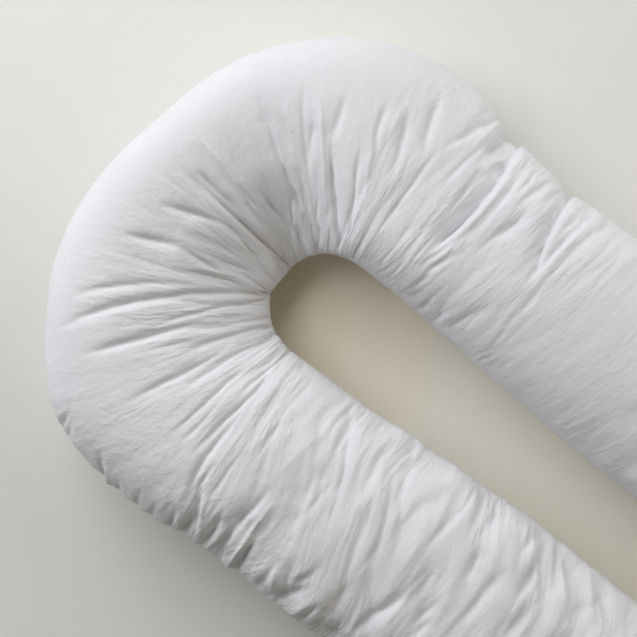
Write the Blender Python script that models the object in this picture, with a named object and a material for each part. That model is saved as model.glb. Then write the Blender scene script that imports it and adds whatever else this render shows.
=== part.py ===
"""A U-shaped body pillow: one stuffed cloth tube, bent back beside itself and lying on its flat underside.

Metres, +Z up. The origin is on the floor under the middle of the pillow's box, and +Y runs from the open
end of the U towards its bend. "Along" is the distance along the tube's middle line from the top of the bend,
negative down the -X arm and positive down the +X arm. "Around" is the angle round the tube: 0 at the outer
seam, 90 at the crown, 180 at the inner seam and 270 in the middle of the underside.
"""

import math
from collections import namedtuple

import bmesh
import bpy

LENGTH = 1.432  # over the bend and the ends of the arms
ARM_SPACING = 0.470  # between the middle lines of the two arms
BEND_REACH = 0.391  # from the bend's centre to the outside of its top
END_ROUND = 0.170  # how far the rounding of each arm's end reaches up the arm
SEAM_SHARE = 0.44  # height of the seam round the sides, as a share of the crown's
OUTER_FULLNESS = 0.84  # under 1 squares the section's outer half, 1 leaves it an ellipse
END_PLUMPNESS = 0.8  # under 1, the ends stay thick further towards their tips than they stay wide
SAG = 1.13  # how far the stuffing would hang below the floor if it could, which sets the flat's width
SEAM_TILT = 0.5  # how much of the lean the seams take: lower by the inner seam, higher by the outer
LEAN_LEVEL = 0.45  # how much a leaning crown is lowered, so that its ridge keeps the height of the rows

BEND_RADIUS = ARM_SPACING / 2
BEND_CENTRE_Y = LENGTH / 2 - BEND_REACH
QUARTER_BEND = BEND_RADIUS * math.pi / 2
TIP_ALONG = QUARTER_BEND + BEND_CENTRE_Y + LENGTH / 2

# The tube's size: half widths to the outer and inner seams, crown height, how far the top leans to the
# outside of the U, where the bend pushes the stuffing, or under 0 to the inside, and how square the section's
# inner half is, in the same terms as the outer. They change smoothly from row to row.
Section = namedtuple("Section", "along outer inner crown lean inner_fullness", defaults=(0.0, 0.90))
SECTIONS = (
    Section(-1.42, 0.168, 0.165, 0.170),
    Section(-1.24, 0.173, 0.168, 0.182),
    Section(-0.99, 0.171, 0.174, 0.190),
    Section(-0.85, 0.164, 0.180, 0.192),
    Section(-0.69, 0.160, 0.175, 0.190),
    Section(-0.59, 0.161, 0.169, 0.188),
    Section(-0.50, 0.158, 0.164, 0.186, 0.08),
    Section(-0.40, 0.161, 0.163, 0.190, 0.16),
    Section(-0.31, 0.175, 0.162, 0.196, 0.34),
    Section(-0.24, 0.195, 0.160, 0.202, 0.53),
    Section(-0.17, 0.183, 0.157, 0.206, 0.62),
    Section(-0.10, 0.174, 0.153, 0.208, 0.66, 0.95),
    Section(0.00, 0.156, 0.151, 0.208, 0.68, 0.98),
    Section(0.06, 0.150, 0.150, 0.208, 0.72, 0.98),
    Section(0.13, 0.166, 0.144, 0.208, 0.74, 0.97),
    Section(0.20, 0.182, 0.140, 0.206, 0.40, 0.90),
    Section(0.29, 0.194, 0.140, 0.202, -0.12, 0.80),
    Section(0.36, 0.186, 0.139, 0.196, -0.34, 0.75),
    Section(0.41, 0.168, 0.139, 0.192, -0.32, 0.75),
    Section(0.47, 0.159, 0.142, 0.188, -0.22, 0.76),
    Section(0.55, 0.149, 0.148, 0.186, -0.10, 0.78),
    Section(0.62, 0.148, 0.153, 0.188, 0.0, 0.80),
    Section(0.72, 0.150, 0.160, 0.190, 0.0, 0.84),
    Section(0.85, 0.154, 0.168, 0.190),
    Section(1.10, 0.158, 0.166, 0.186),
    Section(1.42, 0.158, 0.162, 0.170),
)

# The main folds: soft troughs from one place on the tube to another, in metres along and degrees around.
Fold = namedtuple("Fold", "along around end_along end_around half_width depth")
FOLDS = (
    Fold(-0.425, -20, -0.455, 75, 0.026, 0.014),  # the two deep tucks in the -X arm's outer side
    Fold(-0.475, -25, -0.460, 60, 0.024, 0.013),
    Fold(-0.520, 60, -0.500, 140, 0.028, 0.007),
    Fold(-0.580, 70, -0.505, 150, 0.026, 0.008),
    Fold(-0.720, 20, -0.740, 80, 0.028, 0.011),
    Fold(-0.830, 55, -0.830, 115, 0.030, 0.007),
    Fold(-0.870, 60, -0.850, 165, 0.028, 0.008),
    Fold(-0.215, 60, -0.110, 165, 0.026, 0.008),  # creases that run together into the crook of the bend
    Fold(-0.265, 60, -0.190, 165, 0.025, 0.007),
    Fold(-0.330, 50, -0.300, 160, 0.026, 0.007),
    Fold(-0.010, 80, -0.020, 168, 0.026, 0.006),
    Fold(0.060, 75, 0.060, 168, 0.025, 0.007),
    Fold(0.180, 75, 0.150, 165, 0.026, 0.006),
    Fold(0.230, 70, 0.200, 165, 0.025, 0.007),
    Fold(0.440, -15, 0.455, 120, 0.028, 0.013),  # the +X arm's first tuck, below the end of the bend
    Fold(0.470, 40, 0.455, 135, 0.024, 0.008),
    Fold(0.570, -20, 0.590, 80, 0.028, 0.012),  # and its second
    Fold(0.700, 100, 0.780, 150, 0.030, 0.004),
)
TOP_GIRTH = 0.46  # of cloth over the top from seam to seam, near enough
FOLD_REACH = 3.0  # how many of its half widths away a fold still counts
FOLD_FADE = 0.6  # under 1, a fold keeps its depth further towards its two ends
LEAST_REACH = 0.03  # the folds draw in cloth nearer the tube's middle than this by the same share as here

ARM_STEPS = 26  # rings down each arm, short of its end
BEND_STEPS = 44  # rings round the bend
END_STEPS = 6  # rings in each rounded end
TOP_STEPS = 20  # faces over the top, from seam to seam
UNDER_STEPS = 12  # faces under it

CLOTH_COLOUR = (0.86, 0.86, 0.87, 1.0)
CLOTH_ROUGHNESS = 0.92


def at(along):
    """The section at any place along the tube, on a smooth curve through the rows."""
    place = min(max(along, SECTIONS[0].along), SECTIONS[-1].along)
    after = max(next(i for i, row in enumerate(SECTIONS) if row.along >= place), 1)
    low, high = SECTIONS[after - 1], SECTIONS[after]
    before, beyond = SECTIONS[max(after - 2, 0)], SECTIONS[min(after + 1, len(SECTIONS) - 1)]
    step = high.along - low.along
    share = (place - low.along) / step
    values = []
    for a, b, c, d in zip(before, low, high, beyond):
        leaving = (c - a) / (high.along - before.along) * step
        arriving = (d - b) / (beyond.along - low.along) * step
        eased = share * share * (3 - 2 * share)
        bulge = leaving * share * (1 - share) ** 2 - arriving * share**2 * (1 - share)
        values.append(b + (c - b) * eased + bulge)
    return Section(*values)


def middle_line(along):
    """The middle line's X and Y, and the direction from it towards the outside of the U."""
    past = abs(along) - QUARTER_BEND
    side = math.copysign(1.0, along)
    if past > 0:
        return side * BEND_RADIUS, BEND_CENTRE_Y - past, side, 0.0
    turn = along / BEND_RADIUS
    out_x, out_y = math.sin(turn), math.cos(turn)
    return BEND_RADIUS * out_x, BEND_CENTRE_Y + BEND_RADIUS * out_y, out_x, out_y


def end_share(along):
    """1 along the tube, falling to 0 at the tips as the quarter of a circle that rounds each end."""
    into = (abs(along) - (TIP_ALONG - END_ROUND)) / END_ROUND
    return math.sqrt(max(0.0, 1.0 - max(into, 0.0) ** 2))


def fold_depth(along, around):
    """How far the folds draw the cloth in towards the stuffing, at one place on the tube."""
    girth_per_degree = TOP_GIRTH / 180
    depth = 0.0
    for fold in FOLDS:
        run = (fold.end_along - fold.along, (fold.end_around - fold.around) * girth_per_degree)
        here = (along - fold.along, (around - fold.around) * girth_per_degree)
        length = math.hypot(*run)
        share = (here[0] * run[0] + here[1] * run[1]) / length**2
        off_line = abs(here[0] * run[1] - here[1] * run[0]) / length
        if 0 < share < 1 and off_line < FOLD_REACH * fold.half_width:
            fade = math.sin(math.pi * share) ** FOLD_FADE
            depth += fold.depth * fade * math.exp(-((off_line / fold.half_width) ** 2))
    return depth


def cloth_point(along, around):
    """The place in space of one point of the cloth."""
    section, end = at(along), end_share(along)
    angle = math.radians(around)
    cosine, sine = math.cos(angle), math.sin(angle)
    folded = around - 360 if around > 270 else around
    half_width = section.outer if cosine > 0 else section.inner
    fullness = OUTER_FULLNESS if cosine > 0 else section.inner_fullness
    seam = section.crown * SEAM_SHARE * (1 + SEAM_TILT * section.lean * cosine)
    rise = (section.crown - seam) if sine > 0 else seam * SAG
    across = math.copysign(half_width * abs(cosine) ** fullness, cosine) * end
    up = math.copysign(rise * abs(sine) ** fullness, sine) * end**END_PLUMPNESS
    if sine > 0:
        up *= (1 + section.lean * cosine) / (1 + LEAN_LEVEL * section.lean**2)
    reach = math.hypot(across, up)
    drawn_in = 1.0 - fold_depth(along, folded) / max(reach, LEAST_REACH)
    x, y, out_x, out_y = middle_line(along)
    lift = seam + up * drawn_in
    return x + out_x * across * drawn_in, y + out_y * across * drawn_in, max(lift, 0.0)


def stations():
    """The rings' places along the tube: even down the arms and round the bend, closer towards the tips."""
    arm_end = TIP_ALONG - END_ROUND
    arm = [QUARTER_BEND + (arm_end - QUARTER_BEND) * i / ARM_STEPS for i in range(ARM_STEPS + 1)]
    end = [arm_end + END_ROUND * math.sin(math.pi / 2 * i / END_STEPS) for i in range(1, END_STEPS)]
    bend = [QUARTER_BEND * (2 * i / BEND_STEPS - 1) for i in range(1, BEND_STEPS)]
    return [-s for s in reversed(arm + end)] + bend + arm + end


def angles():
    """The places around the tube of each ring's points."""
    top = [180 * i / TOP_STEPS for i in range(TOP_STEPS)]
    under = [180 + 180 * i / UNDER_STEPS for i in range(UNDER_STEPS)]
    return top + under


def centre_over_origin(bm):
    """Moves the points sideways, so that the middle of their box is over the origin."""
    for axis in (0, 1):
        places = [vert.co[axis] for vert in bm.verts]
        middle = (min(places) + max(places)) / 2
        for vert in bm.verts:
            vert.co[axis] -= middle


def make_pillow():
    """The closed skin: a ring of points at each station, faces between rings, and a fan to each tip."""
    mesh = bpy.data.meshes.new("pillow")
    bm = bmesh.new()
    rings = [[bm.verts.new(cloth_point(s, a)) for a in angles()] for s in stations()]
    count = len(rings[0])
    for ring, following in zip(rings, rings[1:]):
        for i in range(count):
            j = (i + 1) % count
            bm.faces.new((ring[i], ring[j], following[j], following[i]))
    for ring, along in ((rings[0], -TIP_ALONG), (rings[-1], TIP_ALONG)):
        tip = bm.verts.new(cloth_point(along, 0))
        for i in range(count):
            bm.faces.new((ring[i], ring[(i + 1) % count], tip))
    centre_over_origin(bm)
    bmesh.ops.recalc_face_normals(bm, faces=bm.faces)
    bm.to_mesh(mesh)
    bm.free()
    mesh.shade_smooth()
    pillow = bpy.data.objects.new("pillow", mesh)
    bpy.context.scene.collection.objects.link(pillow)
    return pillow


def cloth_material():
    """Plain white cotton."""
    material = bpy.data.materials.new("white_cotton")
    material.use_nodes = True
    shader = material.node_tree.nodes["Principled BSDF"]
    shader.inputs["Base Color"].default_value = CLOTH_COLOUR
    shader.inputs["Roughness"].default_value = CLOTH_ROUGHNESS
    shader.inputs["Metallic"].default_value = 0.0
    return material


def main():
    for old in list(bpy.data.objects):
        bpy.data.objects.remove(old)
    pillow = make_pillow()
    pillow.data.materials.append(cloth_material())


main()
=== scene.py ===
"""The looks of a U-shaped body pillow: its creased cotton cover, on a pale floor in soft window light.

Metres, in the CAD's frame: the origin on the floor under the pillow's middle, +Y towards the bend, +Z up.
"Along" is the distance along the tube's middle line from the top of the bend, negative down the -X arm.
"Around" is the angle round the tube in degrees: 0 at the outer seam, 90 at the crown, 180 at the inner seam
and 270, or -90, in the middle of the underside. "Plan" is seen from straight above.
"""

import math
from collections import namedtuple

import bpy
import numpy as np
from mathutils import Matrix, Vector


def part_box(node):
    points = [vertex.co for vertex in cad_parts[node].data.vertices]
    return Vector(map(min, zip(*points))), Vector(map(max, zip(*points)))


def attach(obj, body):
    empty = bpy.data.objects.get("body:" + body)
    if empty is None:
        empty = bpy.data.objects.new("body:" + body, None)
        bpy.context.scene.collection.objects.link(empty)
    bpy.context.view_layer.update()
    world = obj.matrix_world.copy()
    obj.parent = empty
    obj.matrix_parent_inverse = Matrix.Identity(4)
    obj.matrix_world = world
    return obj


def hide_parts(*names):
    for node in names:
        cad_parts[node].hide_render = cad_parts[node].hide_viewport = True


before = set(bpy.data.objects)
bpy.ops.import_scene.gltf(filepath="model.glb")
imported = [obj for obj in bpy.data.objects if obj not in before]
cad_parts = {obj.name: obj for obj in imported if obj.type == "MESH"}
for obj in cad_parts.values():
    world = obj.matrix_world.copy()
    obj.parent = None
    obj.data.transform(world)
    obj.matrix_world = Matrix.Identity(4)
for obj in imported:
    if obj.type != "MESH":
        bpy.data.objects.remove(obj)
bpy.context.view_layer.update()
LOW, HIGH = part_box("pillow")
MIDDLE = (LOW + HIGH) / 2

# ---- the tube

ARM_SPACING = 0.470  # between the middle lines of the two arms
BEND_REACH = 0.391  # from the bend's centre to the outside of its top
END_ROUND = 0.170  # how far the rounding of each arm's end reaches up the arm
SEAM_SHARE = 0.44  # height of the seam round the sides, as a share of the crown's
OUTER_FULLNESS = 0.84  # under 1 squares the section's outer half, 1 leaves it an ellipse
SEAM_TILT = 0.5  # how much of the lean the seams take: lower by the inner seam, higher by the outer
SAG = 1.13  # how far the stuffing would hang below the floor if it could, which sets the flat's width
END_PLUMPNESS = 0.8  # under 1, the ends stay thick further towards their tips than they stay wide
LEAN_LEVEL = 0.45  # how much a leaning crown is lowered, so that its ridge keeps the height of the rows
SHORT_OF_TIP = 0.0005  # how far before each tip the last ring of cloth is

LENGTH = HIGH.y - LOW.y
BEND_RADIUS = ARM_SPACING / 2
BEND_CENTRE_Y = LENGTH / 2 - BEND_REACH
QUARTER_BEND = BEND_RADIUS * math.pi / 2
TIP_ALONG = QUARTER_BEND + BEND_CENTRE_Y + LENGTH / 2

# The tube's size: half widths to the outer and inner seams, crown height, how far the top leans to the
# outside of the U, or under 0 to the inside, and how square the section's inner half is.
Section = namedtuple("Section", "along outer inner crown lean inner_fullness", defaults=(0.0, 0.90))
SECTIONS = [Section(*row) for row in (
    (-1.42, 0.168, 0.165, 0.170),
    (-1.24, 0.173, 0.168, 0.182),
    (-0.99, 0.171, 0.174, 0.190),
    (-0.85, 0.164, 0.180, 0.192),
    (-0.69, 0.160, 0.175, 0.190),
    (-0.59, 0.161, 0.169, 0.188),
    (-0.50, 0.158, 0.164, 0.186, 0.08),
    (-0.40, 0.161, 0.163, 0.190, 0.16),
    (-0.31, 0.175, 0.162, 0.196, 0.34),
    (-0.24, 0.195, 0.160, 0.202, 0.53),
    (-0.17, 0.183, 0.157, 0.206, 0.62),
    (-0.10, 0.174, 0.153, 0.208, 0.66, 0.95),
    (0.00, 0.156, 0.151, 0.208, 0.68, 0.98),
    (0.06, 0.150, 0.150, 0.208, 0.72, 0.98),
    (0.13, 0.166, 0.144, 0.208, 0.74, 0.97),
    (0.20, 0.182, 0.140, 0.206, 0.40, 0.90),
    (0.29, 0.194, 0.140, 0.202, -0.12, 0.80),
    (0.36, 0.186, 0.139, 0.196, -0.34, 0.75),
    (0.41, 0.168, 0.139, 0.192, -0.32, 0.75),
    (0.47, 0.159, 0.142, 0.188, -0.22, 0.76),
    (0.55, 0.149, 0.148, 0.186, -0.10, 0.78),
    (0.62, 0.148, 0.153, 0.188, 0.0, 0.80),
    (0.72, 0.150, 0.160, 0.190, 0.0, 0.84),
    (0.85, 0.154, 0.168, 0.190),
    (1.10, 0.158, 0.166, 0.186),
    (1.42, 0.158, 0.162, 0.170),
)]

# How far apart the cloth's rings are at places along the tube, and its points at places around a ring.
ALONG_STEPS = ((-1.50, 0.0090), (-1.12, 0.0070), (-1.00, 0.0032), (-0.45, 0.0026), (-0.40, 0.0021),
               (0.40, 0.0021), (0.60, 0.0027), (0.80, 0.0034), (0.95, 0.0080), (1.50, 0.0090))
AROUND_STEPS = ((-90, 12.0), (-40, 8.0), (-12, 3.2), (0, 2.3), (90, 2.4), (180, 2.3), (192, 3.2),
                (220, 8.0), (270, 12.0))


def spaced(rows, start, end):
    """Places from start to end, as far apart as the rows say."""
    fine = np.linspace(start, end, 20001)
    step = np.interp(fine, *zip(*rows))
    count = np.concatenate([[0], np.cumsum(np.diff(fine) / ((step[1:] + step[:-1]) / 2))])
    whole = int(round(count[-1]))
    return np.interp(np.arange(whole + 1) * count[-1] / whole, count, fine)


def sections_at(along):
    """The section's sizes at each place, on smooth curves through the rows."""
    places = np.array([row.along for row in SECTIONS])
    values = np.array([row[1:] for row in SECTIONS])
    slopes = np.gradient(values, places, axis=0)
    place = np.clip(along, places[0], places[-1])
    i = np.clip(np.searchsorted(places, place) - 1, 0, len(places) - 2)
    step = (places[i + 1] - places[i])[:, None]
    t = ((place - places[i])[:, None]) / step
    share = t * t * (3 - 2 * t)
    bulge = slopes[i] * step * t * (1 - t) ** 2 - slopes[i + 1] * step * t * t * (1 - t)
    return (values[i] * (1 - share) + values[i + 1] * share + bulge).T


def middle_line(along):
    """The middle line's points, and the direction from each towards the outside of the U."""
    side = np.sign(along)
    past = np.maximum(np.abs(along) - QUARTER_BEND, 0)
    turn = np.clip(along / BEND_RADIUS, -math.pi / 2, math.pi / 2)
    out = np.stack([np.where(past > 0, side, np.sin(turn)), np.where(past > 0, 0, np.cos(turn))], axis=-1)
    points = np.array([0, BEND_CENTRE_Y]) + BEND_RADIUS * out
    points[:, 1] -= past
    return points, out


def smooth_tube(along, around):
    """The uncreased cover: an array of points, a ring for each place along."""
    outer, inner, crown, lean, inner_fullness = sections_at(along)
    points, out = middle_line(along)
    into = np.maximum((np.abs(along) - (TIP_ALONG - END_ROUND)) / END_ROUND, 0)
    end = np.sqrt(np.maximum(1 - into**2, 0))[:, None]
    cosine, sine = np.cos(np.radians(around))[None], np.sin(np.radians(around))[None]
    half_width = np.where(cosine > 0, outer[:, None], inner[:, None])
    fullness = np.where(cosine > 0, OUTER_FULLNESS, inner_fullness[:, None])
    seam = (crown * SEAM_SHARE)[:, None] * (1 + SEAM_TILT * lean[:, None] * cosine)
    rise = np.where(sine > 0, crown[:, None] - seam, seam * SAG)
    across = np.sign(cosine) * half_width * np.abs(cosine) ** fullness * end
    up = np.sign(sine) * rise * np.abs(sine) ** fullness * end**END_PLUMPNESS
    leaned = (1 + lean[:, None] * cosine) / (1 + LEAN_LEVEL * lean[:, None] ** 2)
    up *= np.where(sine > 0, leaned, 1)
    tube = np.empty(across.shape + (3,))
    tube[..., :2] = points[:, None] + out[:, None] * across[..., None]
    tube[..., 2] = np.maximum(seam + up, 0)
    return tube


def grid_normals(grid):
    """Unit normals of a grid of points that closes on itself round its second direction, facing out."""
    down = np.gradient(grid, axis=0)
    across = np.roll(grid, -1, axis=1) - np.roll(grid, 1, axis=1)
    normal = np.cross(across, down)
    return normal / np.maximum(np.linalg.norm(normal, axis=-1, keepdims=True), 1e-12)


# ---- creases

CUSP = 0.18  # how round a crease's bottom is, as a share of its width
SLOPE_REACH = 2.5  # how many of its widths away the gentle side of a leaning crease ends
SLOPE_CURVE = 1.5  # over 1, that side flattens towards its end


def eased(x):
    """0 up to 0, 1 from 1, and smooth between."""
    x = np.clip(x, 0, 1)
    return x * x * (3 - 2 * x)


def within(places, start, end, fade):
    """1 between start and end, falling to 0 towards both."""
    return eased((places - start) / fade) * eased((end - places) / fade)


def curve_points(start, middle, end, count=13):
    """Points along the arc of a parabola through start, middle and end."""
    start, middle, end = np.array(start), np.array(middle), np.array(end)
    control = 2 * middle - (start + end) / 2
    t = np.linspace(0, 1, count)[:, None]
    return start * (1 - t) ** 2 + 2 * control * t * (1 - t) + end * t**2


def distance_to_curve(places, points):
    """The way to each place from the nearest point of a run of points, and that point's share of the run."""
    nearest = np.full(places.shape[:-1], np.inf)
    way = np.zeros(places.shape)
    share = np.zeros(places.shape[:-1])
    for i, (a, b) in enumerate(zip(points, points[1:])):
        run = b - a
        t = np.clip(((places - a) @ run) / (run @ run), 0, 1)
        off = places - a - t[..., None] * run
        square = np.einsum("...k,...k", off, off)
        nearer = square < nearest
        nearest[nearer] = square[nearer]
        way[nearer] = off[nearer]
        share[nearer] = ((i + t) / (len(points) - 1))[nearer]
    return way, share


def valley(across):
    """A crease's depth beside its bottom, both as shares: a sharp bottom and sides that ease out."""
    return np.exp(CUSP - np.sqrt(across**2 + CUSP**2))


def slope(across):
    """The same for a leaning crease's gentle side, which is straighter."""
    return np.clip(1 - across / SLOPE_REACH, 0, 1) ** SLOPE_CURVE


# Creases in the top, placed in plan: from start, past middle, to end. A depth under 0 is a ridge.
# run_on is the share of the depth that is left at the end, for a crease that goes on over the edge.
# lean makes the side to the left of the way from start to end that many widths gentler, under 0 the right.
# start_width is the width at the start as a share of that at the end.
Crease = namedtuple("Crease", "start middle end width depth run_on lean start_width",
                    defaults=(0.0, 0.0, 1.0))


def crease_row(start, middle, end, width, depth, *shares):
    """A crease from a row with its places in millimetres, and its width and depth in tenths of one."""
    places = [(x / 1000, y / 1000) for x, y in (start, middle, end)]
    return Crease(*places, width / 10000, depth / 10000, *shares)


CREASES = [crease_row(*row) for row in (
    # the -X half of the bend, from its top round to the arm
    ((-262, 622), (-145, 545), (-26, 405), 51, 113, 0.6),
    ((-225, 596), (-165, 548), (-80, 470), 36, -41),
    ((-210, 636), (-146, 582), (-75, 489), 42, 57),
    ((-268, 572), (-190, 512), (-105, 450), 44, 104),
    ((-190, 523), (-110, 471), (-40, 405), 36, 66, 0.6),
    ((-150, 505), (-100, 470), (-45, 425), 29, -41, 0.4),
    ((-285, 480), (-204, 438), (-120, 404), 42, 66),
    ((-172, 453), (-125, 424), (-70, 382), 39, 66, 0.5),
    ((-225, 420), (-146, 398), (-75, 360), 42, 66, 0.5),
    ((-278, 396), (-210, 382), (-138, 369), 28, 61),
    ((-280, 378), (-246, 371), (-190, 367), 28, 31),
    ((-292, 354), (-205, 343), (-118, 326), 42, 79),
    ((-180, 349), (-130, 342), (-75, 328), 32, 38, 0.5),
    ((-352, 314), (-282, 334), (-198, 327), 42, 85),
    ((-330, 312), (-305, 317), (-278, 318), 28, 41),
    ((-330, 292), (-290, 295), (-235, 296), 28, 27),
    # the -X arm's outer side: two deep tucks, sharp folds between them, and a tip that stands out
    ((-420, 300), (-385, 292), (-350, 300), 80, 80),
    ((-398, 272), (-350, 296), (-292, 322), 36, 110, 0.0, 2.2),
    ((-400, 264), (-352, 288), (-305, 314), 30, -55),
    ((-402, 258), (-366, 257), (-325, 266), 36, 120, 0.0, 1.0),
    ((-420, 252), (-370, 248), (-322, 243), 60, -60),
    ((-405, 226), (-340, 236), (-252, 226), 42, 130, 0.0, 1.8),
    ((-335, 218), (-290, 218), (-240, 205), 45, -35),
    ((-430, 204), (-355, 212), (-275, 213), 27, -92, 0.4),
    ((-425, 194), (-378, 197), (-330, 202), 30, 85, 0.3),
    ((-410, 178), (-372, 176), (-318, 182), 65, -30),
    ((-400, 156), (-368, 154), (-330, 158), 60, 60),
    ((-405, 135), (-372, 140), (-335, 162), 50, -70),
    ((-400, 118), (-368, 108), (-345, 98), 50, 70),
    ((-402, 92), (-372, 86), (-345, 84), 50, -45),
    ((-402, 74), (-372, 70), (-350, 70), 45, 50),
    ((-402, 55), (-374, 52), (-352, 54), 45, -40),
    # dents and scallops in its edge, towards the bend
    ((-420, 424), (-398, 440), (-370, 462), 30, 65, 0.3),
    ((-426, 416), (-400, 430), (-366, 452), 30, -60, 0.3),
    ((-424, 402), (-404, 408), (-388, 418), 34, 35, 0.3),
    ((-426, 386), (-410, 390), (-388, 400), 30, -20, 0.3),
    ((-428, 371), (-408, 374), (-380, 382), 34, 30, 0.3),
    ((-428, 361), (-409, 364), (-390, 366), 26, -30, 0.3),
    ((-428, 345), (-404, 348), (-378, 352), 30, 26, 0.3),
    ((-428, 326), (-406, 327), (-384, 332), 26, -30, 0.3),
    ((-428, 318), (-404, 316), (-372, 324), 30, 32, 0.3),
    ((-400, 520), (-380, 520), (-355, 525), 50, 45),
    ((-390, 540), (-366, 536), (-342, 538), 45, 40),
    # long folds of the -X arm
    ((-325, 152), (-257, 176), (-180, 195), 60, 80, 0.0, 2.0),
    ((-248, 124), (-170, 161), (-88, 204), 55, 105, 0.0, 2.4),
    ((-345, 128), (-328, 119), (-305, 111), 60, -47),
    ((-353, 116), (-335, 108), (-300, 104), 60, 41),
    ((-198, 82), (-150, 97), (-105, 104), 100, 34),
    ((-180, 67), (-146, 73), (-98, 92), 100, 34),
    ((-346, 47), (-326, 52), (-300, 53), 40, 19),
    ((-275, 53), (-250, 53), (-225, 57), 40, 16),
    ((-385, 4), (-305, -10), (-240, -36), 105, 115),
    ((-370, -30), (-305, -24), (-255, -34), 80, -54),
    ((-300, -58), (-268, -63), (-246, -72), 60, 41),
    ((-320, -66), (-295, -71), (-270, -80), 60, 41),
    ((-230, -60), (-204, -50), (-170, -39), 80, 24),
    ((-130, -48), (-100, -43), (-64, -28), 50, 24, 0.4),
    ((-190, -92), (-168, -77), (-136, -85), 70, 41),
    ((-330, -112), (-210, -114), (-138, -127), 95, 81),
    ((-125, -138), (-98, -127), (-70, -142), 70, 47, 0.4),
    ((-190, -168), (-140, -158), (-80, -155), 85, 81),
    ((-250, -172), (-205, -178), (-160, -172), 100, 47),
    ((-132, -216), (-100, -191), (-60, -176), 80, 61, 0.4),
    # the top of the bend, above the crook
    ((-85, 618), (-66, 585), (-48, 550), 51, 46),
    ((-71, 536), (-50, 492), (-26, 440), 35, -61),
    ((-78, 530), (-58, 490), (-36, 440), 38, 61),
    ((-23, 612), (-2, 568), (12, 520), 43, 90),
    ((-11, 450), (3, 429), (11, 411), 28, -27, 0.4),
    ((42, 600), (34, 521), (26, 408), 38, 90, 0.6),
    ((52, 600), (48, 560), (44, 500), 41, 72),
    ((67, 560), (60, 500), (52, 415), 28, -43, 0.5),
    ((93, 650), (87, 600), (79, 540), 28, -43),
    ((80, 500), (75, 465), (70, 420), 31, 37, 0.4),
    # the +X half of the bend
    ((205, 605), (135, 505), (85, 405), 47, 50, 0.4),
    ((215, 565), (184, 525), (140, 460), 30, -30),
    ((245, 545), (190, 505), (120, 435), 38, 43),
    ((285, 553), (200, 478), (108, 402), 47, -85, 0.3),
    ((215, 502), (186, 490), (146, 462), 38, 43),
    ((200, 463), (152, 424), (92, 365), 38, 102, 0.4),
    ((272, 490), (240, 478), (205, 468), 45, 38),
    ((220, 424), (175, 400), (115, 362), 41, 67, 0.3),
    ((300, 460), (214, 403), (100, 330), 30, -50, 0.4),
    ((303, 434), (260, 422), (210, 392), 38, 35),
    ((330, 423), (285, 408), (230, 394), 55, -47),
    ((318, 407), (270, 384), (215, 362), 47, 50),
    ((370, 380), (320, 367), (270, 345), 55, 50),
    ((300, 335), (210, 333), (125, 333), 30, 22),
    ((300, 330), (340, 312), (372, 300), 41, 43),
    # the +X arm's two tucks, which open towards the outer seam, and the folds that fan out between them
    ((148, 262), (235, 238), (366, 238), 42, 280, 0.6, 4.4, 0.40),
    ((146, 260), (238, 230), (352, 228), 24, -44, 0.3),
    ((165, 250), (245, 221.5), (345, 218), 34, 26, 0.2, -0.8),
    ((286, 268), (330, 256), (370, 230), 32, -50, 0.5),
    ((240, 262), (290, 256), (330, 244), 32, -34),
    ((210, 272), (255, 266), (300, 262), 34, 30),
    ((235, 282), (285, 276), (335, 272), 36, -26),
    ((245, 300), (300, 292), (350, 280), 40, 24),
    ((300, 252), (335, 246), (372, 236), 34, 40, 0.5),
    ((330, 275), (366, 268), (410, 262), 42, 150, 1.0, -1.5),
    ((320, 298), (360, 290), (405, 284), 90, -60, 0.7),
    ((345, 322), (372, 300), (396, 290), 45, 35, 0.5),
    ((135, 252), (170, 242), (215, 222), 32, 50),
    ((130, 247), (172, 236), (235, 212), 34, -40),
    ((130, 241), (158, 232), (192, 216), 32, 35),
    ((102, 241), (121, 237), (145, 230), 40, 26),
    ((205, 226), (280, 213), (372, 214), 36, 36, 0.3),
    ((215, 221), (290, 206), (372, 206), 36, -30, 0.3),
    ((275, 208), (330, 199), (380, 192), 34, 26, 0.2),
    ((290, 201), (335, 192), (375, 184), 36, -24, 0.2),
    ((285, 192), (332, 180), (368, 168), 32, 30, 0.2),
    ((302, 182), (335, 170), (360, 156), 34, -20, 0.2),
    ((200, 200), (250, 186), (312, 160), 55, 52, 0.0, 0.8),
    ((180, 212), (240, 196), (310, 176), 60, -30),
    ((310, 168), (340, 158), (372, 146), 34, 26, 0.4),
    ((205, 95), (286, 125), (380, 131), 38, 160, 0.8, 2.8, 0.6),
    ((335, 137), (364, 131), (400, 126), 45, 70, 0.8, 1.0),
    ((285, 133), (322, 126), (360, 114), 32, -58, 0.4),
    ((272, 131), (300, 119), (330, 104), 32, -48),
    ((285, 124), (312, 114), (345, 104), 32, 50),
    ((210, 111), (275, 105), (340, 96), 40, 58, 0.3),
    ((208, 108), (285, 96), (372, 83), 40, -60, 0.5),
    ((172, 89), (200, 91), (228, 89), 40, 30),
    ((225, 90), (285, 84), (350, 70), 45, 30),
    ((285, 77), (320, 70), (365, 58), 45, -22, 0.5),
)]

END_PUCKERS = 13  # round each arm's end
PUCKER_WIDTH = 0.0075
PUCKER_DEPTH = 0.0100
PUCKER_LENGTH = 0.100
PUCKER_START = 0.168  # from the centre of the end's rounding
PUCKER_STRAY = 0.25  # how far a pucker is off its even place, as a share of their spacing
PUCKER_ASIDE = 0.010  # how far its inner end is to one side
PUCKER_LENGTHS, PUCKER_DEPTHS = (0.5, 1.5), (0.5, 1.3)  # the least and most, as shares


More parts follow.
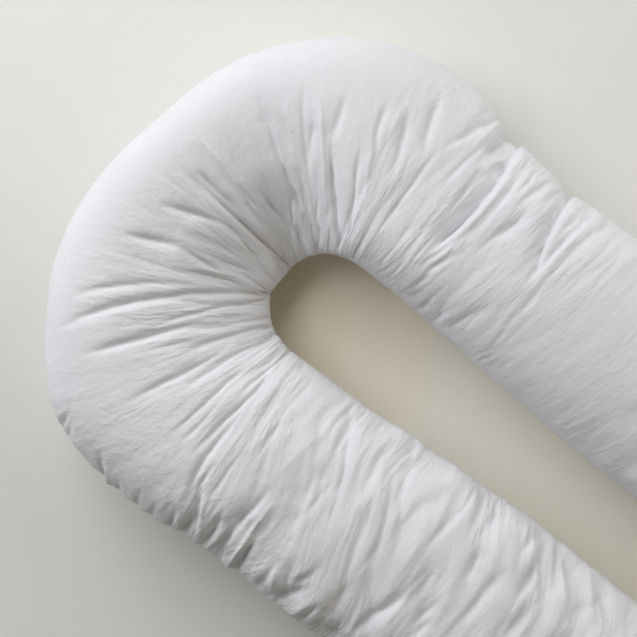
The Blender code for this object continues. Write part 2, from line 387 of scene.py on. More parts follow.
def end_puckers():
    """Creases that run in from the seam round each arm's end, uneven in length and place."""
    random = np.random.default_rng(5)
    rows = []
    for side in (-1, 1):
        centre = np.array([side * BEND_RADIUS, END_ROUND - LENGTH / 2])
        for k in range(END_PUCKERS):
            turn = -math.pi * (k + 0.5 + random.uniform(-PUCKER_STRAY, PUCKER_STRAY)) / END_PUCKERS
            out = np.array([math.cos(turn), math.sin(turn)])
            length = PUCKER_LENGTH * random.uniform(*PUCKER_LENGTHS)
            aside = np.array([-out[1], out[0]]) * random.uniform(-PUCKER_ASIDE, PUCKER_ASIDE)
            start, end = centre + out * PUCKER_START, centre + out * (PUCKER_START - length) + aside
            depth = PUCKER_DEPTH * random.uniform(*PUCKER_DEPTHS)
            rows.append(Crease(start, (start + end) / 2 + aside / 3, end, PUCKER_WIDTH, depth))
    return rows


REACH = 6.0  # how many of its widths away a crease still counts
OPENING = 0.5  # how much wider a crease is where it fades out
WANDER = 0.0016  # how far a crease strays from its line, in metres
WANDER_EVERY = 0.030  # and how far apart its turns are
DEEPEN, FADE = 0.48, 0.45  # the shares of its length over which a crease deepens, and fades at its end
UNEVEN = 0.5  # how much a crease's depth varies on the way
HELD_WIDTH = 0.5  # of the strip that is held sharp at its bottom, as a share of its width


def crease_depth(grid):
    """How far the placed creases draw each point of the top inwards, and how sharply each point is held."""
    depth = np.zeros(grid.shape[:2])
    held = np.zeros(grid.shape[:2])
    random = np.random.default_rng(3)
    x, y = grid[..., 0] / WANDER_EVERY, grid[..., 1] / WANDER_EVERY
    wander_x, wander_y, uneven = (smooth_noise(x, y, random) for _ in range(3))
    plan = grid[..., :2] + WANDER * np.stack([wander_x, wander_y], axis=-1)
    for crease in CREASES + end_puckers():
        points = curve_points(crease.start, crease.middle, crease.end)
        margin = REACH * crease.width * (1 + abs(crease.lean))
        near = ((plan > points.min(0) - margin) & (plan < points.max(0) + margin)).all(-1)
        way, share = distance_to_curve(plan[near], points)
        taper = eased(share / DEEPEN) * (crease.run_on + (1 - crease.run_on) * eased((1 - share) / FADE))
        run = points[-1] - points[0]
        left = np.sign(run[0] * way[..., 1] - run[1] * way[..., 0])
        widening = crease.start_width + (1 - crease.start_width) * share
        width = crease.width * widening * (1 + OPENING * (1 - taper))
        width = width * (1 + abs(crease.lean) * (left * crease.lean > 0))
        across = np.linalg.norm(way, axis=-1) / width
        profile = np.where(left * crease.lean > 0, slope(across), valley(across))
        depth[near] += crease.depth * taper * (1 + UNEVEN * uneven[near]) * profile
        held[near] = np.maximum(held[near], taper * np.exp(-((across / HELD_WIDTH) ** 2)))
    return depth, held


# Folds scattered over a patch of the tube, at random places from a fixed seed. tilt is their slant from
# straight round the tube, in degrees towards the +X arm's end, and spread is how far that varies.
Rucks = namedtuple("Rucks", "along_from along_to around_from around_to count tilt spread length width depth")
RUCKS = [Rucks(*row) for row in (
    # the bend: long fine folds that run in to the crook
    (-0.42, 0.3, 95, 172, 80, 0, 6, 0.12, 0.0034, 0.0028),
    (-0.4, 0.2, 90, 135, 50, 0, 8, 0.11, 0.0036, 0.0018),
    # the -X arm
    (-1.1, -0.42, 15, 165, 60, 10, 12, 0.16, 0.015, 0.005),
    (-1.05, -0.42, 15, 165, 90, 8, 14, 0.11, 0.0075, 0.0026),
    # the +X arm
    (0.3, 0.85, 15, 165, 26, -12, 12, 0.13, 0.014, 0.0022),
    (0.3, 0.85, 20, 165, 50, -13, 12, 0.09, 0.007, 0.001),
    # both arms past the view
    (-1.4, -1.1, 10, 170, 30, 4, 16, 0.15, 0.018, 0.005),
    (-1.4, -1.00, 10, 170, 60, 4, 18, 0.1, 0.01, 0.0024),
    (0.85, 1.4, 10, 170, 50, -6, 16, 0.15, 0.018, 0.0045),
    (0.8, 1.4, 10, 170, 80, -6, 18, 0.1, 0.01, 0.0022),
)]
VALLEYS = 0.6  # the share of the small folds that go in and not out
RUCK_POINTS = 7
RUCK_TURN = 25  # degrees that a small fold typically turns by on its way
RUCK_LEAN = 1.6  # at most, as for the placed creases
RUCK_REACH = 9.0  # how many of its widths away a small fold still counts
RUCK_FADE = 0.5  # the share of its length over which a small fold fades, at both ends
# The least and most that a fold's length, width and depth can be, as shares of its row's.
RUCK_LENGTHS, RUCK_WIDTHS, RUCK_DEPTHS = (0.5, 1.5), (0.6, 1.6), (0.3, 1.5)

# Branching lines over a patch of the tube: how far apart they are, how long before they turn, and how deep.
# A depth under 0 makes them ridges, and round blunts them, as a share of half their width.
Network = namedtuple("Network", "along_from along_to around_from around_to spacing length depth round",
                     defaults=(0.0,))
NETWORKS = [Network(*row) for row in (
    # the bend's -X half, its top and its +X half
    (-0.5, -0.08, 60, 178, 0.04, 0.3, 0.004),
    (-0.46, -0.1, 80, 178, 0.022, 0.22, 0.002),
    (-0.46, -0.1, 70, 178, 0.023, 0.22, -0.0018),
    (-0.44, -0.08, 80, 178, 0.011, 0.12, 0.0018),
    (-0.18, 0.18, 58, 178, 0.04, 0.3, 0.006),
    (-0.16, 0.18, 75, 178, 0.022, 0.22, 0.0026),
    (-0.16, 0.2, 65, 178, 0.023, 0.22, -0.003),
    (0.1, 0.42, 50, 178, 0.05, 0.26, 0.0036),
    (0.1, 0.42, 60, 178, 0.026, 0.2, -0.0018),
    (-0.14, 0.26, 85, 178, 0.011, 0.13, 0.0014),
    # the -X arm
    (-1.15, -0.42, 8, 172, 0.09, 0.28, 0.015, 0.8),
    (-1.15, -0.4, 8, 174, 0.05, 0.24, 0.0085, 0.3),
    (-1.15, -0.4, 8, 174, 0.028, 0.2, 0.0036),
    (-1.15, -0.4, 8, 174, 0.025, 0.19, -0.003),
    (-1.15, -0.36, 5, 176, 0.013, 0.15, 0.0018),
    (-0.52, -0.24, 5, 75, 0.022, 0.16, 0.003),
    (-0.52, -0.26, 5, 60, 0.011, 0.11, 0.0022),
    # the +X arm, down to just past its second tuck, and the rest of what is seen of it
    (0.34, 0.66, 8, 174, 0.05, 0.2, 0.0046),
    (0.34, 0.7, 8, 174, 0.022, 0.15, 0.0022),
    (0.34, 0.7, 8, 174, 0.021, 0.15, -0.0016),
    (0.34, 0.7, 5, 176, 0.012, 0.09, 0.0016),
    (0.55, 0.98, 5, 176, 0.03, 0.15, 0.0012),
    (0.55, 0.98, 5, 176, 0.014, 0.09, 0.0008),
    # puckers along the seams
    (-0.34, 0.28, -60, 26, 0.045, 0.07, 0.004),
    (-0.48, -0.2, -70, 24, 0.013, 0.09, 0.0026),
    (-1.3, -0.38, -70, 24, 0.02, 0.1, 0.0046),
    (-1.3, -0.34, -70, 20, 0.012, 0.08, 0.0022),
    (-1.3, -0.38, 158, 250, 0.018, 0.08, 0.0038),
    (-1.3, -0.38, 160, 240, 0.012, 0.07, 0.002),
    (0.4, 1.3, -70, 20, 0.02, 0.09, 0.003),
    (0.4, 1.3, 160, 250, 0.02, 0.08, 0.0026),
    # both arms past the view
    (-1.45, -0.75, -75, 60, 0.03, 0.12, 0.006),
    (0.64, 1.45, -75, 60, 0.03, 0.12, 0.006),
    (-1.6, -1.05, 5, 175, 0.09, 0.26, 0.012, 0.6),
    (-1.6, -1.05, 5, 175, 0.045, 0.2, 0.007),
    (-1.6, -1.2, -50, 230, 0.18, 0.04, 0.005),
    (0.88, 1.6, 5, 175, 0.09, 0.26, 0.012, 0.6),
    (0.88, 1.6, 5, 175, 0.045, 0.2, 0.007),
    (1.2, 1.6, -50, 230, 0.18, 0.04, 0.005),
)]
FADE_ALONG = 0.10  # how far in from its ends a patch of lines fades, in metres
FADE_AROUND = 22  # the same from its sides, in degrees
LINE_STEEP, LINE_SHARP = 3.0, 1.6  # how narrow a line is, and how sharp its bottom
LINE_BEND = 0.8  # how many spacings a broader noise bends the lines by
# The lines' depth as a share of the row's: where the patches' noise is 0, for each unit of it, and at most.
PATCH_SHARE, PATCH_CONTRAST, PATCH_MOST = 0.35, 2.0, 1.4
# The grains of these two noises: how many spacings wide they are, and how many there are to a length.
BEND_WIDE, BEND_RATE = 3, 1.3
PATCH_WIDE, PATCH_RATE = 2.5, 0.9


def smooth_noise(u, v, random):
    """Gradient noise, from about -0.7 to 0.7, with one grain to each unit of u and v."""
    i, j = np.floor(u).astype(int), np.floor(v).astype(int)
    s, t = u - i, v - j
    i, j = i - i.min(), j - j.min()
    angle = random.uniform(0, 2 * math.pi, (i.max() + 2, j.max() + 2))
    slope_u, slope_v = np.cos(angle), np.sin(angle)

    def corner(di, dj):
        return slope_u[i + di, j + dj] * (s - di) + slope_v[i + di, j + dj] * (t - dj)

    across = s**3 * (s * (6 * s - 15) + 10)
    down = t**3 * (t * (6 * t - 15) + 10)
    return ((corner(0, 0) * (1 - across) + corner(1, 0) * across) * (1 - down)
            + (corner(0, 1) * (1 - across) + corner(1, 1) * across) * down)


def network_depth(surface, layout, row, random):
    """How far one network of lines draws each point inwards.

    The lines are where one noise crosses zero. A broader one bends them, and another leaves patches empty.
    """
    inside = within(surface.along, row.along_from, row.along_to, FADE_ALONG)
    across = within(surface.around, row.around_from, row.around_to, FADE_AROUND)
    rows = slice(*(np.flatnonzero(inside)[[0, -1]] + [0, 1]))
    columns = slice(*(np.flatnonzero(across)[[0, -1]] + [0, 1]))
    u, v = layout[rows, columns, 0] / row.spacing, layout[rows, columns, 1] / row.length
    bend = smooth_noise(u / BEND_WIDE, v * BEND_RATE, random)
    lines = np.abs(smooth_noise(u + LINE_BEND * bend, v, random))
    uneven = smooth_noise(u / PATCH_WIDE, v * PATCH_RATE, random)
    patches = np.clip(PATCH_SHARE + PATCH_CONTRAST * uneven, 0, PATCH_MOST)
    blunt = row.round / LINE_STEEP
    lines = np.sqrt(lines**2 + blunt**2) - blunt
    sharp = np.clip(1 - LINE_STEEP * lines, 0, 1) ** LINE_SHARP
    depth = np.zeros(surface.grid.shape[:2])
    depth[rows, columns] = row.depth * patches * sharp * inside[rows, None] * across[None, columns]
    return depth


class Surface:
    """The smooth tube as a grid, with a way to follow lines over it."""

    def __init__(self, along, around, grid):
        self.along, self.around, self.grid = along, around, grid
        self.normal = grid_normals(grid)
        self.per_row = np.linalg.norm(np.gradient(grid, axis=0), axis=-1)  # metres from a ring to the next
        across = np.roll(grid, -1, axis=1) - np.roll(grid, 1, axis=1)
        self.per_column = np.linalg.norm(across, axis=-1) / 2  # and from a point to the next round its ring

    def at(self, values, row, column):
        """The values between four grid points."""
        row = np.clip(row, 0, len(self.along) - 1.001)
        column = np.clip(column, 0, len(self.around) - 1.001)
        i, j = row.astype(int), column.astype(int)
        s, t = row - i, column - j
        if values.ndim == 3:
            s, t = s[..., None], t[..., None]
        return ((values[i, j] * (1 - t) + values[i, j + 1] * t) * (1 - s)
                + (values[i + 1, j] * (1 - t) + values[i + 1, j + 1] * t) * s)

    def line(self, along, around, tilt, length, turn):
        """Rows and columns, as fractions, of points on a line through each place, whose slant turns."""
        rows, columns = [], []
        for way in (-1, 1):
            row = np.interp(along, self.along, np.arange(len(self.along)))
            column = np.interp(around, self.around, np.arange(len(self.around)))
            step = way * length / (RUCK_POINTS - 1)
            for k in range(RUCK_POINTS // 2 + 1):
                rows.append(row)
                columns.append(column)
                slant = tilt + way * turn * k / RUCK_POINTS
                row = row + step * np.sin(slant) / self.at(self.per_row, row, column)
                column = column + step * np.cos(slant) / self.at(self.per_column, row, column)
        half = RUCK_POINTS // 2 + 1
        order = list(range(half - 1, 0, -1)) + list(range(half, 2 * half))
        return np.stack(rows)[order].T, np.stack(columns)[order].T


def ruck_depth(surface, rucks, random):
    """How far a scatter of small folds draws each point inwards."""
    depth = np.zeros(surface.grid.shape[:2])
    count = rucks.count
    along = random.uniform(rucks.along_from, rucks.along_to, count)
    around = random.uniform(rucks.around_from, rucks.around_to, count)
    tilt = np.radians(rucks.tilt + rucks.spread * random.standard_normal(count))
    length = rucks.length * random.uniform(*RUCK_LENGTHS, count)
    width = rucks.width * random.uniform(*RUCK_WIDTHS, count)
    height = rucks.depth * random.uniform(*RUCK_DEPTHS, count)
    height *= np.where(random.uniform(size=count) < VALLEYS, 1, -1)
    turn = np.radians(RUCK_TURN) * random.standard_normal(count)
    lean = random.uniform(0.0, RUCK_LEAN, count) * np.where(random.uniform(size=count) < 0.5, 1, -1)
    rows, columns = surface.line(along, around, tilt, length, turn)
    points = surface.at(surface.grid, rows, columns)
    for k in range(count):
        margin = RUCK_REACH * width[k]
        patch = []
        for places, sizes in ((rows[k], surface.per_row), (columns[k], surface.per_column)):
            off = margin / surface.at(sizes, rows[k, :1], columns[k, :1])[0]
            patch.append(slice(max(int(places.min() - off), 0), int(places.max() + off) + 2))
        patch = tuple(patch)
        way, share = distance_to_curve(surface.grid[patch], points[k])
        run = points[k][-1] - points[k][0]
        side = np.einsum("...k,...k", np.cross(run, way), surface.normal[patch])
        wide = width[k] * (1 + np.abs(lean[k]) * (side * lean[k] > 0))
        taper = within(share, 0, 1, RUCK_FADE)
        depth[patch] += height[k] * taper * valley(np.linalg.norm(way, axis=-1) / wide)
    return depth


# ---- building the cover

def grid_mesh(name, grid, layout):
    """A closed mesh from rings of points, with a fan over each end and places on the flat cloth as UVs."""
    rings, count = grid.shape[:2]
    points = np.concatenate([grid.reshape(-1, 3), grid[[0, -1]].mean(axis=1)])
    j = np.arange(count)
    after = (j + 1) % count
    ring = np.arange(rings - 1)[:, None] * count
    following = ring + count
    quads = np.stack([ring + j, ring + after, following + after, following + j], -1).reshape(-1, 4)
    last_ring, first_tip, last_tip = (rings - 1) * count, rings * count, rings * count + 1
    first = np.stack([after, j, np.full(count, first_tip)], -1)
    last = np.stack([last_ring + j, last_ring + after, np.full(count, last_tip)], -1)
    mesh = bpy.data.meshes.new(name)
    mesh.from_pydata(points.tolist(), [], quads.tolist() + first.tolist() + last.tolist())
    mesh.validate()
    mesh.shade_smooth()
    lay_flat(mesh, layout, rings, count)
    piece = bpy.data.objects.new(name, mesh)
    bpy.context.scene.collection.objects.link(piece)
    return piece


def lay_flat(mesh, layout, rings, count):
    """Gives each face its place on the flat cloth, as UVs in metres, unbroken where a ring closes."""
    corner = np.empty(len(mesh.loops), dtype=np.int64)
    mesh.loops.foreach_get("vertex_index", corner)
    ends = np.stack([layout[0].mean(axis=0), layout[-1].mean(axis=0)])
    flat = np.concatenate([layout.reshape(-1, 2), ends])[corner]
    quads = (rings - 1) * count
    closing = np.arange(quads) % count == count - 1
    girth = layout[:, -1, 1] * count / (count - 1)
    column = flat[: quads * 4, 1].reshape(-1, 4)
    column[closing, 1] = girth[np.arange(quads)[closing] // count]
    column[closing, 2] = girth[np.arange(quads)[closing] // count + 1]
    mesh.uv_layers.new(name="cloth").data.foreach_set("uv", flat.ravel())


def blurred(values, times):
    """The values evened out over the grid, with each pass a ring or a point further."""
    for _ in range(times):
        values = (np.roll(values, 1, axis=1) + 2 * values + np.roll(values, -1, axis=1)) / 4
        padded = np.concatenate([values[:1], values, values[-1:]])
        values = (padded[:-2] + 2 * values + padded[2:]) / 4
    return values


RELAX_ROUNDS = 90
STUFFING_PUSH = 0.00006  # metres a round
STUFFING_HOLD = 0.03  # share of the way back towards the shape it was laid in, a round
CREASE_HOLD = 0.6  # the same at the bottom of a placed crease
SEAM_HOLD = 0.10  # the same along the seams
PUSH_EVERY = 6  # rounds between new directions for the stuffing's push
# How stiffly the cloth keeps its lengths: between neighbours, on the slant, and over two or four in a line.
STRETCH, SKEW, BEND_ALONG, BEND_AROUND, BEND_FAR = 0.9, 0.15, 0.30, 0.20, 0.15
END_RINGS = 3  # that stay where they were laid, at each tip


def pull(a, b, rest, stiffness):
    """Moves the points a and b, which are views of one grid, towards being rest apart."""
    run = b - a
    length = np.sqrt(np.einsum("...k,...k", run, run))
    run *= (stiffness * 0.5 * (1 - rest / np.maximum(length, 1e-9)))[..., None]
    a += run
    b -= run


def pull_apart(grid, rest, gap, stiffness):
    """Pulls pairs of rings that are gap apart towards their rest distances, in sets that share no ring."""
    for first in range(2 * gap):
        a, b = grid[first:-gap:2 * gap], grid[first + gap::2 * gap]
        n = min(len(a), len(b))
        pull(a[:n], b[:n], rest[first::2 * gap][:n], stiffness)


def lengths(grid, rows, columns):
    """Distances from each point to the one rows further along and columns further round."""
    near = grid[: len(grid) - rows, : grid.shape[1] - columns]
    return np.linalg.norm(grid[rows:, columns:] - near, axis=-1)


def settled(start, smooth_normal, hold):
    """The cover after its cloth, kept at its own size, has settled over the stuffing."""
    grid = start.copy()
    turned = grid.transpose(1, 0, 2)
    along_1, along_2, along_4 = (lengths(start, gap, 0) for gap in (1, 2, 4))
    around_1, around_2 = (lengths(start, 0, gap).T for gap in (1, 2))
    closing = np.linalg.norm(start[:, -1:] - start[:, :1], axis=-1)
    skew = lengths(start, 1, 1)
    skew_back = np.linalg.norm(start[1:, :-1] - start[:-1, 1:], axis=-1)
    for turn in range(RELAX_ROUNDS):
        if turn % PUSH_EVERY == 0:
            push = grid_normals(grid) * STUFFING_PUSH
        grid += push
        off = np.einsum("...k,...k", start - grid, smooth_normal)
        grid += smooth_normal * (off * hold)[..., None]
        pull_apart(grid, along_1, 1, STRETCH)
        pull_apart(turned, around_1, 1, STRETCH)
        pull(grid[:, -1:], grid[:, :1], closing, STRETCH)
        for first in (0, 1):
            a, b = grid[first:-1:2], grid[first + 1::2]
            n = min(len(a), len(b))
            pull(a[:n, :-1], b[:n, 1:], skew[first::2][:n], SKEW)
            pull(a[:n, 1:], b[:n, :-1], skew_back[first::2][:n], SKEW)
        pull_apart(grid, along_2, 2, BEND_ALONG)
        pull_apart(turned, around_2, 2, BEND_AROUND)
        pull_apart(grid, along_4, 4, BEND_FAR)
        np.maximum(grid[..., 2], 0, out=grid[..., 2])
        grid[:END_RINGS], grid[-END_RINGS:] = start[:END_RINGS], start[-END_RINGS:]
    return grid


# How far the cloth's fine creases slant from straight round the tube at places along it, in degrees towards
# the +X arm's end.
SLANTS = ((-1.3, 5), (-1, 8), (-0.6, 9), (-0.4, 4), (-0.2, 0), (0.25, 0), (0.45, -9), (0.8, -13), (1.3, -6))
SWAY = 0.060  # how far the lines of creases stray to and fro along the -X arm, in metres
SWAY_EVERY = 0.20  # and how far apart those turns are
SWAY_FROM, SWAY_FADE = -0.34, 0.16  # where along the tube the sway starts, and over how far it grows


def cloth_layout(surface):
    """Each point's place on the flat cloth: metres along, slanted with the fine creases, and round."""
    round_to = np.cumsum(surface.per_column, axis=1) - surface.per_column[:, :1]
    crown = np.argmin(np.abs(surface.around - 90))
    slant = np.radians(np.interp(surface.along, *zip(*SLANTS)))
    off_crown = round_to - round_to[:, crown:crown + 1]
    along = surface.along[:, None] - np.tan(slant)[:, None] * off_crown
    stray = smooth_noise(along / SWAY_EVERY, off_crown / SWAY_EVERY, np.random.default_rng(11))
    along += SWAY * eased((SWAY_FROM - surface.along[:, None]) / SWAY_FADE) * stray
    return np.stack([along, round_to], axis=-1)


# How strong the material's fine creases are, at places along: by the outer seam, at the crown and by the
# inner seam.
GATHERS = (
    (-1.40, 0.7, 0.6, 0.7),
    (-0.80, 0.9, 0.7, 0.9),
    (-0.45, 2.0, 1.0, 0.9),
    (-0.30, 1.1, 1.2, 1.1),
    (-0.15, 0.2, 1.3, 1.3),
    (0.00, 0.1, 1.2, 1.3),
    (0.25, 0.2, 0.8, 1.0),
    (0.42, 1.1, 1.1, 1.0),
    (0.58, 1.1, 0.8, 0.5),
    (0.72, 0.6, 0.4, 0.3),
    (1.40, 0.7, 0.6, 0.7),
)


def gathering(surface):
    """How strong the fine creases are at each point, from the rows above."""
    places, *columns = zip(*GATHERS)
    outer, crown, inner = (np.interp(surface.along, places, column)[:, None] for column in columns)
    side = np.cos(np.radians(surface.around))[None]
    return crown + np.maximum(side, 0) * (outer - crown) + np.maximum(-side, 0) * (inner - crown)


UNDER_REACH, UNDER_FADE = 65, 50  # how far under the seams creases reach, and over how much they fade
PLACED_REACH = 25  # the same for the placed ones, which fade all the way
SEAM_BAND = 7  # degrees either side of a seam in which its stitches keep the creases shallower
SEAM_CALM, CROOK_CALM = 0.25, 0.45  # by what share, and how much more by the inner seam inside the bend
CROOK_PAST, CROOK_FADE = 0.06, 0.10  # how far past the bend that reaches, and over how far it fades
LEVELLING, LEVEL_PASSES = 0.5, 60  # share of the creases' broad depth that is undone, and how broad that is


def creased_cover():
    """The cover's points, their places on the flat cloth, how gathered they are and how far from a seam."""
    along = spaced(ALONG_STEPS, -TIP_ALONG + SHORT_OF_TIP, TIP_ALONG - SHORT_OF_TIP)
    around = spaced(AROUND_STEPS, -90, 270)[:-1]
    grid = smooth_tube(along, around)
    box_middle = (grid.reshape(-1, 3).min(0) + grid.reshape(-1, 3).max(0)) / 2
    grid[..., :2] += (np.array(MIDDLE) - box_middle)[:2]
    surface = Surface(along, around, grid)
    outer_seam, inner_seam = (np.exp(-(((around - place) / SEAM_BAND) ** 2)) for place in (0, 180))
    crook = eased((QUARTER_BEND + CROOK_PAST - np.abs(along)) / CROOK_FADE)[:, None]
    calm = SEAM_CALM * outer_seam + (SEAM_CALM + CROOK_CALM * crook) * inner_seam

    depth, held = crease_depth(grid)
    depth *= within(around, -PLACED_REACH, 180 + PLACED_REACH, PLACED_REACH)
    random = np.random.default_rng(7)
    for rucks in RUCKS:
        depth += ruck_depth(surface, rucks, random)
    layout = cloth_layout(surface)
    for row in NETWORKS:
        depth += network_depth(surface, layout, row, random)
    depth *= within(around, -UNDER_REACH, 180 + UNDER_REACH, UNDER_FADE) * (1 - calm)
    depth -= LEVELLING * blurred(depth, LEVEL_PASSES) * np.clip(np.sin(np.radians(around)), 0, 1)

    start = grid - surface.normal * depth[..., None]
    start[..., 2] = np.maximum(start[..., 2], 0)
    hold = STUFFING_HOLD + CREASE_HOLD * held + SEAM_HOLD * (outer_seam + inner_seam)
    girth = surface.per_column.sum(axis=1)[:, None]
    off_seam = np.sin(np.radians(around)) * girth / (2 * math.pi)
    return settled(start, surface.normal, hold), layout, gathering(surface), off_seam


# ---- materials

def principled(name, colour, roughness):
    material = bpy.data.materials.new(name)
    material.use_nodes = True
    shader = material.node_tree.nodes["Principled BSDF"]
    shader.inputs["Base Color"].default_value = (*colour, 1)
    shader.inputs["Roughness"].default_value = roughness
    shader.inputs["Metallic"].default_value = 0.0
    return material, shader


class Nodes:
    """Short ways to add and join a material's nodes."""

    def __init__(self, material):
        self.tree = material.node_tree

    def add(self, kind, inputs=(), **settings):
        node = self.tree.nodes.new(kind)
        for name, value in settings.items():
            setattr(node, name, value)
        for socket, value in dict(inputs).items():
            if isinstance(value, bpy.types.NodeSocket):
                self.tree.links.new(value, node.inputs[socket])
            else:
                node.inputs[socket].default_value = value
        return node

    def math(self, operation, *values):
        return self.add("ShaderNodeMath", dict(enumerate(values)), operation=operation).outputs[0]

    def noise(self, place, scale, detail=2.0, roughness=0.5, distortion=0.0, kind="FBM"):
        """Noise from 0 to 1, or sharp ridges from about 0 to 2, in grains 1 / scale metres across."""
        placed = self.add("ShaderNodeVectorMath", {0: place, 1: scale}, operation="MULTIPLY").outputs[0]
        inputs = {"Vector": placed, "Scale": 1.0, "Detail": detail, "Roughness": roughness,
                  "Distortion": distortion}
        if kind == "RIDGED_MULTIFRACTAL":
            inputs.update({"Offset": 1.0, "Gain": 2.0})
        return self.add("ShaderNodeTexNoise", inputs, noise_type=kind).outputs[0]

    def ramp(self, value, low, high):
        inputs = {"Value": value, "From Min": low, "From Max": high}
        return self.add("ShaderNodeMapRange", inputs, clamp=True).outputs[0]

    def mix(self, share, low, high):
        """From the colour low to the colour high. Each is a node's output or three numbers."""
        ends = [end if isinstance(end, bpy.types.NodeSocket) else (*end, 1) for end in (low, high)]
        inputs = {"Factor": share, "A": ends[0], "B": ends[1]}
        return self.add("ShaderNodeMix", inputs, data_type="RGBA").outputs["Result"]

    def bump(self, height, distance, strength=1.0, normal=None):
        inputs = {"Height": height, "Distance": distance, "Strength": strength}
        if normal is not None:
            inputs["Normal"] = normal
        return self.add("ShaderNodeBump", inputs).outputs[0]


RIDGE_HEIGHT, FURROW_DEPTH = 0.00080, 0.00065  # of the fine creases
CRUMPLE, GATHERED_CRUMPLE = 0.00060, 0.00110  # height of the crumpled cloth, and how much gathers add to it
GROOVE_REACH, GROOVE_DEPTH = 0.0040, 0.0022  # of the seam, to each side and inwards
THREAD_SCALE = 900.0  # puts the threads 0.35 mm apart
THREAD_WOBBLE, THREAD_HEIGHT = 0.6, 0.00004
WHITES = (0.782, 0.790, 0.808), (0.812, 0.815, 0.825)


def cotton():
    """White cotton: creases too small for the mesh, the weave, a soft sheen and a faintly uneven white."""
    material, shader = principled("cotton", (0.80, 0.80, 0.81), 0.9)
    nodes = Nodes(material)
    cloth = nodes.add("ShaderNodeUVMap", uv_map="cloth").outputs[0]
    gather = nodes.add("ShaderNodeAttribute", attribute_name="gather").outputs["Fac"]
    ridges = nodes.noise(cloth, (34, 5.0, 1), 4.0, 0.62, 0.25, "RIDGED_MULTIFRACTAL")
    furrows = nodes.noise(cloth, (52, 8.5, 3), 3.0, 0.60, 0.30, "RIDGED_MULTIFRACTAL")
    crumple = nodes.noise(cloth, (95, 60, 1), 4.0, 0.62, 0.5)
    patches = nodes.ramp(nodes.noise(cloth, (11, 7, 1), 2.0), 0.36, 0.62)
    ridges = nodes.math("MULTIPLY", ridges, RIDGE_HEIGHT)
    furrows = nodes.math("MULTIPLY", furrows, FURROW_DEPTH)
    height = nodes.math("MULTIPLY", nodes.math("SUBTRACT", ridges, furrows), patches)
    height = nodes.math("MULTIPLY", height, gather)
    rough = nodes.math("MULTIPLY_ADD", gather, GATHERED_CRUMPLE, CRUMPLE)
    height = nodes.math("ADD", height, nodes.math("MULTIPLY", crumple, rough))
    off_seam = nodes.add("ShaderNodeAttribute", attribute_name="off_seam").outputs["Fac"]
    seam = nodes.ramp(nodes.math("ABSOLUTE", off_seam), GROOVE_REACH, 0.0)
    height = nodes.math("SUBTRACT", height, nodes.math("MULTIPLY", seam, GROOVE_DEPTH))
    folds = nodes.bump(height, 1.0)
    waves = {"Vector": cloth, "Scale": THREAD_SCALE, "Distortion": THREAD_WOBBLE}
    warp, weft = (nodes.add("ShaderNodeTexWave", waves, bands_direction=way).outputs["Fac"] for way in "XY")
    weave = nodes.bump(nodes.math("MAXIMUM", warp, weft), THREAD_HEIGHT, 1.0, folds)
    nodes.tree.links.new(weave, shader.inputs["Normal"])
    tone = nodes.ramp(nodes.noise(cloth, (14, 10, 1), 4.0, 0.6), 0.3, 0.7)
    nodes.tree.links.new(nodes.mix(tone, *WHITES), shader.inputs["Base Color"])
    shader.inputs["Sheen Weight"].default_value = 0.12
    shader.inputs["Sheen Roughness"].default_value = 0.5
    shader.inputs["Specular IOR Level"].default_value = 0.25
    return material


PAINTS = (0.780, 0.776, 0.726), (0.800, 0.796, 0.748)
ARMS_PAINTED_LIGHT, CROOK_PAINTED_SHADE = (0.885, 0.860, 0.766), (0.822, 0.748, 0.602)  # painted light between the arms, lighter and warmer, and painted shade in the crook, darker and browner
PAINTED_SHADE_FROM, PAINTED_SHADE_TO = 0.08, 0.30  # from where to where, in y, the painted light becomes the painted shade


def floor_material():
    """A pale matt paint, faintly cloudy and grained, with painted light between the pillow's arms, lighter
    and warmer, turning to painted shade in the crook, darker and browner.
    """
    material, shader = principled("floor", (0.790, 0.785, 0.737), 0.8)
    nodes = Nodes(material)
    place = nodes.add("ShaderNodeTexCoord").outputs["Object"]
    paint = nodes.mix(nodes.ramp(nodes.noise(place, (2.2, 2.2, 1), 3.0, 0.6), 0.25, 0.75), *PAINTS)
    x, y, _ = nodes.add("ShaderNodeSeparateXYZ", {0: place}).outputs
    # where the painted light and shade go: between the arms, fading out towards their ends and under the
    # bend
    beside = nodes.ramp(nodes.math("ABSOLUTE", x), 0.34, 0.10)
    above_end, below_bend = nodes.ramp(y, -0.80, -0.35), nodes.ramp(y, 0.66, 0.42)
    between = nodes.math("MULTIPLY", nodes.math("MULTIPLY", beside, above_end), below_bend)
    # painted light between the arms, lighter and warmer, turning to painted shade, darker and browner, in
    # the crook
    warm = nodes.mix(nodes.ramp(y, PAINTED_SHADE_FROM, PAINTED_SHADE_TO), ARMS_PAINTED_LIGHT, CROOK_PAINTED_SHADE)
    nodes.tree.links.new(nodes.mix(between, paint, warm), shader.inputs["Base Color"])
    grain = nodes.noise(place, (260, 260, 1), 3.0, 0.6)
    nodes.tree.links.new(nodes.bump(grain, 0.0004), shader.inputs["Normal"])
    return material


# ---- scene

def add_pillow():
    grid, layout, gather, off_seam = creased_cover()
    pillow = grid_mesh("pillow_cover", grid, layout)
    for name, values in (("gather", gather), ("off_seam", off_seam)):
        attribute = pillow.data.attributes.new(name, "FLOAT", "POINT")
        attribute.data.foreach_set("value", np.concatenate([values.ravel(), values[[0, -1]].mean(axis=1)]))
    pillow.data.materials.append(cotton())
    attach(pillow, "root")
    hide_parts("pillow")
    return pillow


FLOOR_RADIUS = 3.1


def add_floor():
    bpy.ops.mesh.primitive_circle_add(vertices=128, radius=FLOOR_RADIUS, fill_type="NGON",
                                      location=(0, 0, LOW.z))
    floor = bpy.context.object
    floor.name = "floor"
    floor.data.materials.append(floor_material())


VIEW_MIDDLE = (-0.0135, 0.325)
VIEW_WIDTH = 0.981  # at the seams' height
VIEW_TURN = -53  # degrees
CAMERA_HEIGHT = 2.4
SEAM_HEIGHT = 0.09
SENSOR = 36  # millimetres


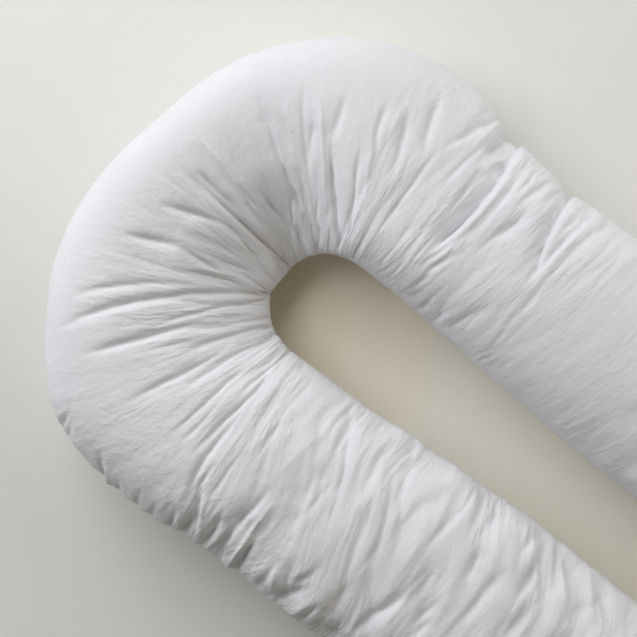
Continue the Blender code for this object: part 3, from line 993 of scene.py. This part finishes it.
def add_camera():
    data = bpy.data.cameras.new("camera")
    data.sensor_width = SENSOR
    data.lens = SENSOR * (CAMERA_HEIGHT - SEAM_HEIGHT) / VIEW_WIDTH
    camera = bpy.data.objects.new("camera", data)
    camera.location = (*VIEW_MIDDLE, CAMERA_HEIGHT)
    camera.rotation_euler = (0, 0, math.radians(VIEW_TURN))
    bpy.context.scene.collection.objects.link(camera)
    bpy.context.scene.camera = camera


# The windows: which way each lies from the pillow, in degrees round from +X and up from the floor, how far
# off, its size, its power in watts and its colour.
Window = namedtuple("Window", "turn rise away width height power colour")
WINDOWS = (
    Window(83, 41, 3.1, 3.35, 2.45, 93, (0.960, 0.985, 1.045)),
    Window(-24, 28, 3.0, 3.0, 2.2, 36, (0.955, 0.980, 1.060)),
    Window(-83, 22, 3.4, 2.0, 2.0, 6, (1.100, 1.030, 0.850)),
)
# The rest of the room's light: cool from the side of the -X arm, warm and weaker from the other side and
# from above, and dimmer towards the horizon.
COOL_ROOM = (0.147, 0.160, 0.181)
WARM_ROOM = (0.130, 0.094, 0.039)
COOL_FROM = 180  # degrees round from +X
COOL_START = -0.2  # where the light starts to turn cool, as the cosine of the angle from COOL_FROM
HORIZON_LIGHT, LIGHT_RISE = 0.50, 0.62  # its strength at the horizon, and how much it gains on the way up
FULL_LIGHT = 0.7  # where it is strongest, as the upward part of the direction
BACKGROUND = (0.66, 0.64, 0.59)  # what is seen past the floor's edge


def add_windows():
    """The soft light of two wide windows, and a little from a small warm one at the arms' end."""
    for row in WINDOWS:
        turn, rise = math.radians(row.turn), math.radians(row.rise)
        toward = Vector((math.cos(turn) * math.cos(rise), math.sin(turn) * math.cos(rise), math.sin(rise)))
        data = bpy.data.lights.new("window", "AREA")
        data.shape = "RECTANGLE"
        data.size, data.size_y = row.width, row.height
        data.energy = row.power
        data.color = row.colour
        window = bpy.data.objects.new("window", data)
        window.location = Vector((*VIEW_MIDDLE, 0)) + toward * row.away
        window.rotation_euler = (-toward).to_track_quat("-Z", "Y").to_euler()
        window.visible_camera = False
        bpy.context.scene.collection.objects.link(window)


def add_room():
    """The light of the room from all round, and a pale background to look at past the floor."""
    world = bpy.data.worlds.new("world")
    world.use_nodes = True
    nodes = Nodes(world)
    direction = nodes.add("ShaderNodeTexCoord").outputs["Generated"]
    turn = math.radians(COOL_FROM)
    toward = {0: direction, 1: (math.cos(turn), math.sin(turn), 0)}
    facing = nodes.add("ShaderNodeVectorMath", toward, operation="DOT_PRODUCT").outputs["Value"]
    colour = nodes.mix(nodes.ramp(facing, COOL_START, 1.0), WARM_ROOM, COOL_ROOM)
    up = nodes.add("ShaderNodeSeparateXYZ", {0: direction}).outputs[2]
    strength = nodes.math("MULTIPLY_ADD", nodes.ramp(up, 0.0, FULL_LIGHT), LIGHT_RISE, HORIZON_LIGHT)
    room = nodes.add("ShaderNodeBackground", {"Color": colour, "Strength": strength})
    seen = nodes.add("ShaderNodeBackground", {"Color": (*BACKGROUND, 1)})
    looking = nodes.add("ShaderNodeLightPath").outputs["Is Camera Ray"]
    both = nodes.add("ShaderNodeMixShader", {0: looking, 1: room.outputs[0], 2: seen.outputs[0]})
    nodes.tree.links.new(both.outputs[0], world.node_tree.nodes["World Output"].inputs["Surface"])
    bpy.context.scene.world = world


add_camera()
add_floor()
add_pillow()
add_windows()
add_room()
bpy.context.scene.view_settings.view_transform = "Standard"
